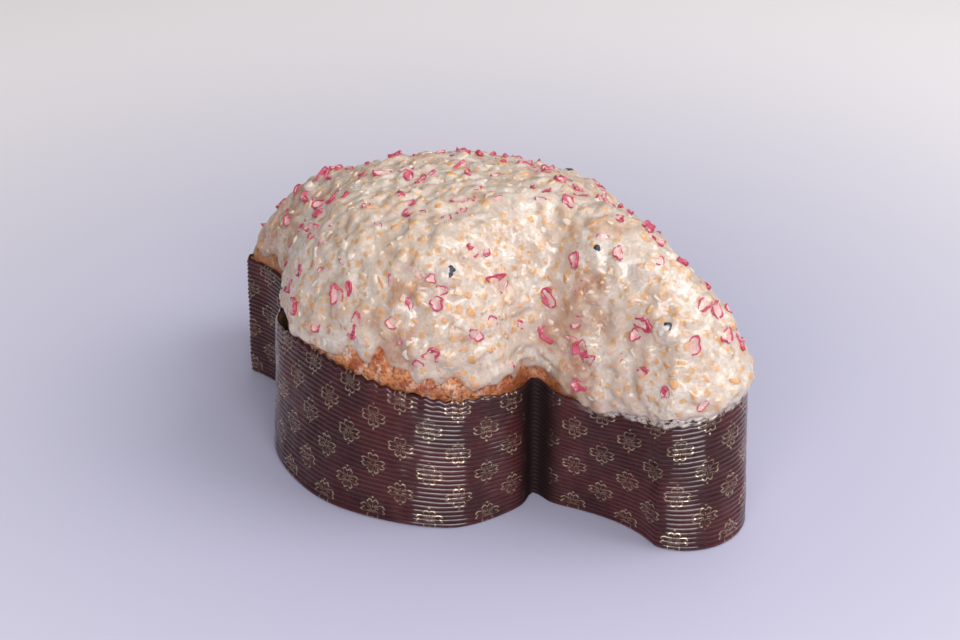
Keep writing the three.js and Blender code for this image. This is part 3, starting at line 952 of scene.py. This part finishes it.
def thinness_and_head_shade():
    """How far the crust shows through: all along a bare edge, and in patches, the one over the head partly
    painted shade.
    """
    edge = 1 - smooth(glaze_reach, 0.0, THIN_RIM["reach"])
    edge = edge * np.minimum(1, bare_edge / BARE_FULLY)[None, :]
    patch = bumps(THIN_GLAZE_AND_HEAD_SHADE, glaze_rows[..., 0], glaze_rows[..., 1])
    patch = patch + THIN_PATCH["uneven"] * grain(glaze_rows, THIN_PATCH["size"], seed=28)
    return np.maximum(edge, smooth(patch, THIN_PATCH["from"], 1.0))


def with_values(bm, rows_before, fields):
    """Gives each grid point the values of its place, before the grid is welded."""
    for label, field in fields.items():
        layer = bm.verts.layers.float.new(label)
        padded = np.zeros((rows_before + field.shape[0], field.shape[1] + 1))
        padded[rows_before:, :-1] = field
        padded[rows_before:, -1] = field[:, 0]
        for vert, value in zip(bm.verts, padded.ravel()):
            vert[layer] = value


CREAM = (0.63, 0.555, 0.475)
CREAM_WARM = (0.535, 0.42, 0.335)
CREAM_WHITE = (0.70, 0.655, 0.595)
NUT_TAN = (0.60, 0.31, 0.11)
STREAK_PINK = (0.54, 0.31, 0.23)
OVER_NUT = (0.64, 0.39, 0.21)
OVER_FLAKE = (0.72, 0.36, 0.36)
OVER_CRUST = (0.40, 0.20, 0.115)
WARP = (0.0026, 0.0026, 0.0026)


def glaze_finish():
    """Wet cream with whiter patches, pink streaks in its creases, and tan stains of sunken nuts."""
    material, shader, place = new_finish("glaze_cream")
    broad = place.noise(45.0, 3.0, 0.55)
    patch = place.noise(210.0, 4.0, 0.6)
    fine = place.noise(900.0, 4.0, 0.6)
    colour = broad.rise(0.38, 0.64).mix(CREAM_WARM, CREAM)
    colour = (patch.rise(0.52, 0.72) * 0.8).mix(colour, CREAM_WHITE)
    values = {"Vector": place, "Scale": 500.0, "Detail": 3.0}
    drift = place.node("ShaderNodeTexNoise", {}, values, out="Color")
    values = {0: drift, 1: WARP, 2: place}
    warped = place.node("ShaderNodeVectorMath", {"operation": "MULTIPLY_ADD"}, values)
    cell = warped.cells(260.0, out="Color")
    pick = cell.node("ShaderNodeSeparateColor", {}, {0: cell}, out=0)
    stains = 1 - (warped.cells(260.0) + 0.5 * fine).rise(0.45, 0.78)
    stains = stains * pick.rise(0.49, 0.58) * 0.84
    streaks = 1 - abs(place.noise(360.0, 5.0, 0.7) - 0.5).rise(0.0, 0.03)
    colour = (streaks * broad.rise(0.38, 0.56) * 0.34).mix(colour, STREAK_PINK)
    colour = stains.mix(colour, NUT_TAN)
    colour = (place.attribute("near_nut").rise(0.45, 0.95) * 0.5).mix(colour, OVER_NUT)
    colour = (place.attribute("near_flake").rise(0.45, 0.95) * 0.30).mix(colour, OVER_FLAKE)
    # Crust showing through thin glaze; over the head this darkening is partly painted shade.
    shows = place.attribute("thin") * (0.40 + 0.5 * patch.rise(0.4, 0.65))
    colour = shows.mix(colour, OVER_CRUST)
    height = fine * 0.2 + patch * 1.1 + stains * 0.4 - streaks * 0.12
    feed(material.node_tree, shader, {
        "Base Color": colour, "Roughness": 0.24 + 0.18 * fine + 0.12 * stains,
        "Normal": height.bump(0.0013, 0.65),
        "Coat Weight": 0.85 * patch.rise(0.36, 0.56), "Coat Roughness": 0.07,
        "Subsurface Weight": 0.12, "Subsurface Radius": (0.004, 0.0022, 0.0012), "Subsurface Scale": 0.6,
        "IOR": 1.46,
    })
    return material


lifted, near_nut, near_flake = lifted_skin()
under = under_rows()
bm = wrapped(np.concatenate([under, closed_on_spine(lifted)]))
with_values(bm, len(under), {"near_nut": near_nut, "near_flake": near_flake, "thin": thinness_and_head_shade()})
glaze = finished(bm, "glaze", glaze_finish())
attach(glaze, "root")
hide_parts("icing")

# ---- Nut bits ----
# Chopped roasted nuts are stirred into the glaze: hundreds of small angular bits, most of them sunk to
# their tops and filmed with glaze, so that they show as tan lumps.

# Lengths are shares of a bit's size, and values in pairs are the least and the most.
NUT_UNEVEN = 0.55
NUT_BEVEL = 0.35
NUT_SMOOTHING = 0.15
NUT_STRETCH = ((0.9, 1.35), (0.8, 1.2), (0.38, 0.6))
NUT_HEIGHT = (-0.16, 0.08)
NUT_TILT = (-0.3, 0.3)
FULL_TURN = 6.28

NUT_PALE = (0.70, 0.42, 0.17)
NUT_ROASTED = (0.52, 0.23, 0.07)
NUT_FLECK = (0.72, 0.46, 0.26)


def set_down(bm, point, normal, turn, tilt):
    """Turns a bit that was made at the origin with +Z up, leans it with the glaze and sets it there."""
    lean = Vector(normal).to_track_quat("Z", "Y").to_matrix().to_4x4()
    tilted = Matrix.Rotation(tilt[0], 4, "X") @ Matrix.Rotation(tilt[1], 4, "Y")
    turned = tilted @ Matrix.Rotation(turn, 4, "Z")
    bmesh.ops.transform(bm, matrix=Matrix.Translation(point) @ lean @ turned, verts=bm.verts[:])


def joined(bm, part):
    """Adds one small mesh to a larger one."""
    mesh = bpy.data.meshes.new("bit")
    part.to_mesh(mesh)
    part.free()
    bm.from_mesh(mesh)
    bpy.data.meshes.remove(mesh)


def nut_bit(size, draw):
    """A cube knocked out of shape, with its edges broken and its height pressed."""
    part = bmesh.new()
    bmesh.ops.create_cube(part, size=2 * size)
    for vert in part.verts:
        vert.co += Vector(draw.uniform(-NUT_UNEVEN, NUT_UNEVEN) * size for _ in range(3))
    bmesh.ops.bevel(
        part, geom=part.edges[:], offset=NUT_BEVEL * size, offset_type="OFFSET", affect="EDGES",
        segments=1, profile=0.5, material=-1, clamp_overlap=True,
    )
    bmesh.ops.smooth_vert(
        part, verts=part.verts[:], factor=NUT_SMOOTHING,
        use_axis_x=True, use_axis_y=True, use_axis_z=True,
    )
    stretch = [draw.uniform(*span) for span in NUT_STRETCH]
    bmesh.ops.scale(part, vec=stretch, verts=part.verts[:])
    return part


def nut_mesh():
    """All the nut bits in one mesh, with each one's own tone, and the height of each vertex in it."""
    draw = random.Random(34)
    bm = bmesh.new()
    tones, heights = [], []
    for (point, normal), size in zip(nut_places, nut_sizes):
        part = nut_bit(size, draw)
        top = max(vert.co.z for vert in part.verts)
        heights.extend([vert.co.z / top for vert in part.verts])
        place = Vector(point) + Vector(normal) * size * draw.uniform(*NUT_HEIGHT)
        tilt = (draw.uniform(*NUT_TILT), draw.uniform(*NUT_TILT))
        set_down(part, place, normal, draw.uniform(0, FULL_TURN), tilt)
        tones.extend([draw.random()] * len(part.verts))
        joined(bm, part)
    own_tone = bm.verts.layers.float.new("own_tone")
    bare_top = bm.verts.layers.float.new("bare")
    for vert, tone, height in zip(bm.verts, tones, heights):
        vert[own_tone] = tone
        vert[bare_top] = height
    return bm


def nut_finish():
    """Roasted nut where the film of glaze is thin, mostly at the tops, and cream elsewhere."""
    material, shader, place = new_finish("nut_roasted")
    own = place.attribute("own_tone")
    fine = place.noise(1500.0, 4.0, 0.6)
    film = place.noise(520.0, 4.0, 0.65)
    colour = own.mix(NUT_PALE, NUT_ROASTED)
    colour = (fine.rise(0.5, 0.75) * 0.4).mix(colour, NUT_FLECK)
    shows = (0.25 + 3.2 * (film - 0.5) + 1.5 * own - 0.55).rise(0.0, 0.6)
    shows = shows * place.attribute("bare").rise(0.30, 0.90) * 0.96
    feed(material.node_tree, shader, {
        "Base Color": shows.mix(CREAM, colour), "Roughness": 0.34 + 0.2 * fine,
        "Normal": fine.bump(0.0002, 0.6),
        "Coat Weight": 0.25 * film.rise(0.4, 0.6), "Coat Roughness": 0.15,
        "Subsurface Weight": 0.1, "Subsurface Radius": (0.003, 0.0016, 0.0008), "Subsurface Scale": 0.5,
    })
    return material


nut_bits = finished(nut_mesh(), "nut_bits", nut_finish(), weld=0)
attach(nut_bits, "root")
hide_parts("icing")

# ---- Fruit flakes ----
# Thin curled flakes of dried red fruit lie in the glaze. Glaze has filled their hollows, so they show
# as pale pink patches with a torn crimson edge.

# Lengths are shares of a flake's size, and values in pairs are the least and the most.
FLAKE_SIDES = 20
FLAKE_LOBES = (2, 3, 5)
FLAKE_WAVE = {"least": 0.05, "most": 0.45, "torn": 0.05}
FLAKE_EDGE = 0.16
FLAKE_HOLLOW = {"slope": 0.14, "depth": 0.16}
FLAKE_THICKNESS = 0.45
FLAKE_STRETCH = (0.5, 0.95)
FLAKE_CURL = (-0.1, 0.45)
FLAKE_CRUMPLE = {"height": 0.16, "waves": 5}
FLAKE_HEIGHT = 0.32
FLAKE_UNEVEN = (-0.0003, 0.0004)
FLAKE_TILT = (-0.28, 0.28)
UNFILLED_SHARE = 0.4
# Faces are sorted along this way, because the extrusion makes them in an order that changes.
FACE_ORDER = Vector((1.0, 1.7, 2.3))

FLAKE_CRIMSON = ((0.36, 0.022, 0.060), (0.58, 0.10, 0.165))
FLAKE_PALE = ((0.76, 0.52, 0.47), (0.66, 0.27, 0.30))


def fruit_flake(size, draw):
    """A round scrap with a wavy outline and a shallow hollow on top, thickened, curled and crumpled."""
    part = bmesh.new()
    bmesh.ops.create_circle(part, cap_ends=True, radius=size, segments=FLAKE_SIDES)
    waves = []
    for lobes in FLAKE_LOBES:
        depth = draw.uniform(FLAKE_WAVE["least"], FLAKE_WAVE["most"] / lobes)
        waves.append((lobes, depth, draw.uniform(0, FULL_TURN)))
    for vert in part.verts:
        angle = math.atan2(vert.co.y, vert.co.x)
        wavy = sum(depth * math.sin(lobes * angle + start) for lobes, depth, start in waves)
        vert.co *= 1 + wavy + draw.uniform(-FLAKE_WAVE["torn"], FLAKE_WAVE["torn"])
    face = part.faces[:][0]
    slope, depth = FLAKE_HOLLOW["slope"] * size, -FLAKE_HOLLOW["depth"] * size
    bmesh.ops.inset_individual(part, faces=[face], thickness=FLAKE_EDGE * size, depth=0.0)
    bmesh.ops.inset_individual(part, faces=[face], thickness=slope, depth=depth)
    ring = bmesh.ops.extrude_face_region(part, geom=part.faces[:])
    low = [g for g in ring["geom"] if isinstance(g, bmesh.types.BMVert)]
    bmesh.ops.translate(part, vec=(0, 0, -FLAKE_THICKNESS * size), verts=low)
    part.faces.sort(key=lambda face: face.calc_center_median().dot(FACE_ORDER))
    stretch = draw.uniform(*FLAKE_STRETCH)
    curl = draw.uniform(*FLAKE_CURL) / size
    start = draw.uniform(0, FULL_TURN)
    for vert in part.verts:
        vert.co.y *= stretch
        crumple = math.sin(vert.co.y / size * FLAKE_CRUMPLE["waves"] + start)
        vert.co.z += curl * 0.5 * vert.co.x**2 + FLAKE_CRUMPLE["height"] * size * crumple
    return part


def flake_mesh():
    """All the flakes in one mesh, with the bottom of each hollow marked as filled, unless left unfilled."""
    draw = random.Random(35)
    bm = bmesh.new()
    edges = []
    for (point, normal), size in zip(flake_places, flake_sizes):
        part = fruit_flake(size, draw)
        unfilled = draw.random() < UNFILLED_SHARE
        for index in range(len(part.verts)):
            in_hollow = 2 * FLAKE_SIDES <= index < 3 * FLAKE_SIDES
            edges.append(0.0 if in_hollow and not unfilled else 1.0)
        height = FLAKE_HEIGHT * size + draw.uniform(*FLAKE_UNEVEN)
        place = Vector(point) + Vector(normal) * height
        tilt = (draw.uniform(*FLAKE_TILT), draw.uniform(*FLAKE_TILT))
        set_down(part, place, normal, draw.uniform(0, FULL_TURN), tilt)
        joined(bm, part)
    layer = bm.verts.layers.float.new("edge")
    for vert, value in zip(bm.verts, edges):
        vert[layer] = value
    return bm


def flake_finish():
    """Crimson at the torn edges, pale pink in the hollows, with glaze smeared over parts of both."""
    material, shader, place = new_finish("flake_crimson")
    fine = place.noise(1300.0, 4.0, 0.65)
    film = place.noise(420.0, 3.0, 0.6)
    crimson = fine.rise(0.35, 0.7).mix(*FLAKE_CRIMSON)
    pale = fine.rise(0.3, 0.75).mix(*FLAKE_PALE)
    torn = place.attribute("edge") + 0.8 * (place.noise(700.0, 3.0, 0.6) - 0.5)
    colour = torn.rise(0.35, 0.75).mix(pale, crimson)
    colour = (film.rise(0.54, 0.68) * 0.55).mix(colour, CREAM_WHITE)
    feed(material.node_tree, shader, {
        "Base Color": colour, "Roughness": 0.36 + 0.2 * fine, "Normal": fine.bump(0.0003, 0.7),
        "Coat Weight": 0.2 * film.rise(0.4, 0.6), "Coat Roughness": 0.15,
        "Subsurface Weight": 0.12, "Subsurface Radius": (0.004, 0.001, 0.001), "Subsurface Scale": 0.5,
    })
    return material


fruit_flakes = finished(flake_mesh(), "fruit_flakes", flake_finish(), weld=0)
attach(fruit_flakes, "root")
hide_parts("icing")

# ---- Berries ----
# A few dried blueberries stand in the glaze: wrinkled, blue-black with a dusty bloom, each smeared with
# glaze on the side it was poured from.
BERRY_DETAIL = 4
BERRY_SQUASH = (1, 0.94, 0.86)
BERRY_SUNK = 0.15
BERRY_TILT = (0.3, 0.1)
BERRY_TURN = 1.7
BERRY_SHIFT = 3.7
WRINKLE = {"depth": 0.09, "broad": 2.2, "fine": 5}
CROWN_DENT = {"depth": 0.12, "from": 0.86}
SMEAR_SIDE = Vector((-0.78, -0.46, -0.42))
SMEAR = {"level": 0.45, "uneven": 0.6, "lumps": 1.8}

BERRY_BLACK = (0.010, 0.012, 0.020)
BERRY_BLOOM = (0.045, 0.055, 0.075)
SMEAR_CREAM = (0.66, 0.61, 0.56)


def berry_shape(point, normal, radius, number):
    """A wrinkled ball with a dent for its crown, sunk in the glaze and smeared on one side."""
    bm = bmesh.new()
    bmesh.ops.create_icosphere(bm, subdivisions=BERRY_DETAIL, radius=radius)
    for vert in bm.verts:
        way = vert.co.normalized()
        folds = noise.noise(way * WRINKLE["broad"] + Vector((number * BERRY_SHIFT, 0, 0)))
        folds = folds + 0.5 * noise.noise(way * WRINKLE["fine"] + Vector((0, number, 0)))
        crown = max(0.0, way.z - CROWN_DENT["from"]) / (1 - CROWN_DENT["from"])
        vert.co = way * radius * (1 + WRINKLE["depth"] * folds - CROWN_DENT["depth"] * crown)
    bmesh.ops.scale(bm, vec=BERRY_SQUASH, verts=bm.verts[:])
    middle = Vector(point) - Vector(normal) * (BERRY_SUNK * radius)
    set_down(bm, middle, normal, number * BERRY_TURN, BERRY_TILT)
    layer = bm.verts.layers.float.new("smear")
    for vert in bm.verts:
        way = (vert.co - middle).normalized()
        uneven = noise.noise(way * SMEAR["lumps"] + Vector((number, 0, 0)))
        vert[layer] = way.dot(SMEAR_SIDE) + SMEAR["level"] + SMEAR["uneven"] * uneven
    return bm


def berry_finish():
    """Blue-black skin with a pale bloom, and cream where it is smeared."""
    material, shader, place = new_finish("berry_blue_black")
    bloom = place.noise(260.0, 4.0, 0.6)
    fine = place.noise(1800.0, 4.0, 0.6)
    colour = bloom.rise(0.4, 0.7).mix(BERRY_BLACK, BERRY_BLOOM)
    smear = place.attribute("smear") + 1.3 * (bloom - 0.5) + 0.5 * (fine - 0.5)
    smear = smear.rise(0.30, 0.62)
    feed(material.node_tree, shader, {
        "Base Color": (smear * 0.92).mix(colour, SMEAR_CREAM), "Roughness": 0.30 + 0.25 * bloom,
        "Normal": (fine + bloom).bump(0.0004, 0.6),
        "Coat Weight": 0.3 * smear, "Coat Roughness": 0.15,
    })
    return material


berry_skin = berry_finish()
for number, (point, normal, radius) in enumerate(berry_places, 1):
    bm = berry_shape(point, normal, radius, number)
    berry = finished(bm, f"berry_body_{number}", berry_skin, weld=0)
    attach(berry, "root")
    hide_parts(f"berry_{number}")

# ---- Stage ----
# A pale table, with painted shade near the cake, stands in even daylight from above. A broad lamp from
# the front and another from behind on the right give the shine, and the camera is at the photograph's
# angle.
FLOOR_SIZE = 14.0
FLOOR_DROP = 0.0002
# Painted shade: the table is darker close to the cake.
FLOOR_NEAR_PAINTED_SHADE = (0.415, 0.41, 0.535)
FLOOR_FAR = (0.83, 0.80, 0.805)
FLOOR_SHADE_FADE = (0.06, 0.75)
FRONT_LAMP = {"place": (0.76, -1.01, 0.85), "size": (1.45, 0.5), "power": 19.0, "colour": (1.0, 0.975, 1.0)}
SIDE_LAMP = {"place": (1.05, 0.60, 1.45), "size": (1.0, 1.0), "power": 17.0, "colour": (1.0, 0.985, 0.985)}
LAMPS_AIM = (0, 0, 0.05)
DAYLIGHT = {"way": (-0.25, -0.40, -1.0), "strength": 1.45, "spread": math.radians(90)}
SURROUND = (0.80, 0.78, 0.84, 1)
SURROUND_STRENGTH = 0.16
CAMERA_PLACE = (0.3946, -0.5319, 0.4168)
CAMERA_WAY = (-0.603, 0.798)
CAMERA_PITCH = math.radians(28.34)
CAMERA_LENS = 60
CAMERA_SENSOR = 36


def stage_floor():
    """The table, duller and bluer close to the cake; the dulling is painted shade that evens out the lamps'
    stronger light there.
    """
    material, shader, place = new_finish("table_pale")
    far = place.node("ShaderNodeVectorMath", {"operation": "LENGTH"}, {0: place}, out="Value")
    colour = far.rise(*FLOOR_SHADE_FADE).mix(FLOOR_NEAR_PAINTED_SHADE, FLOOR_FAR)
    feed(material.node_tree, shader, {"Base Color": colour, "Roughness": 0.55})
    bm = bmesh.new()
    bmesh.ops.create_grid(bm, x_segments=1, y_segments=1, size=FLOOR_SIZE / 2)
    floor = finished(bm, "table", material)
    floor.data.transform(Matrix.Translation((0, 0, -FLOOR_DROP)))


def aimed(name, data, way, place=(0, 0, 0)):
    """Stands a lamp or the camera at a place, looking along a way."""
    stood = bpy.data.objects.new(name, data)
    stood.location = place
    stood.rotation_mode = "QUATERNION"
    stood.rotation_quaternion = Vector(way).to_track_quat("-Z", "Y")
    bpy.context.scene.collection.objects.link(stood)
    return stood


def broad_lamp(name, lamp):
    """A rectangle of soft light, turned to the cake."""
    light = bpy.data.lights.new(name, "AREA")
    light.shape = "RECTANGLE"
    light.size, light.size_y = lamp["size"]
    light.energy = lamp["power"]
    light.color = lamp["colour"]
    aimed(name, light, Vector(LAMPS_AIM) - Vector(lamp["place"]), lamp["place"])


def daylight():
    """Light from a wide part of the sky, with a faint even surround."""
    sky = bpy.data.lights.new("sky", "SUN")
    sky.energy = DAYLIGHT["strength"]
    sky.angle = DAYLIGHT["spread"]
    aimed("sky", sky, DAYLIGHT["way"])
    world = bpy.data.worlds.new("surround")
    world.use_nodes = True
    surround = world.node_tree.nodes["Background"]
    feed(world.node_tree, surround, {"Color": SURROUND, "Strength": SURROUND_STRENGTH})
    bpy.context.scene.world = world


def stage_camera():
    """The camera, above the cake and before its near wing."""
    lens = bpy.data.cameras.new("camera")
    lens.lens = CAMERA_LENS
    lens.sensor_width = CAMERA_SENSOR
    level = math.cos(CAMERA_PITCH)
    way = (CAMERA_WAY[0] * level, CAMERA_WAY[1] * level, -math.sin(CAMERA_PITCH))
    bpy.context.scene.camera = aimed("camera", lens, way, CAMERA_PLACE)


stage_floor()
broad_lamp("front", FRONT_LAMP)
broad_lamp("side", SIDE_LAMP)
daylight()
stage_camera()
bpy.context.scene.view_settings.view_transform = "Standard"
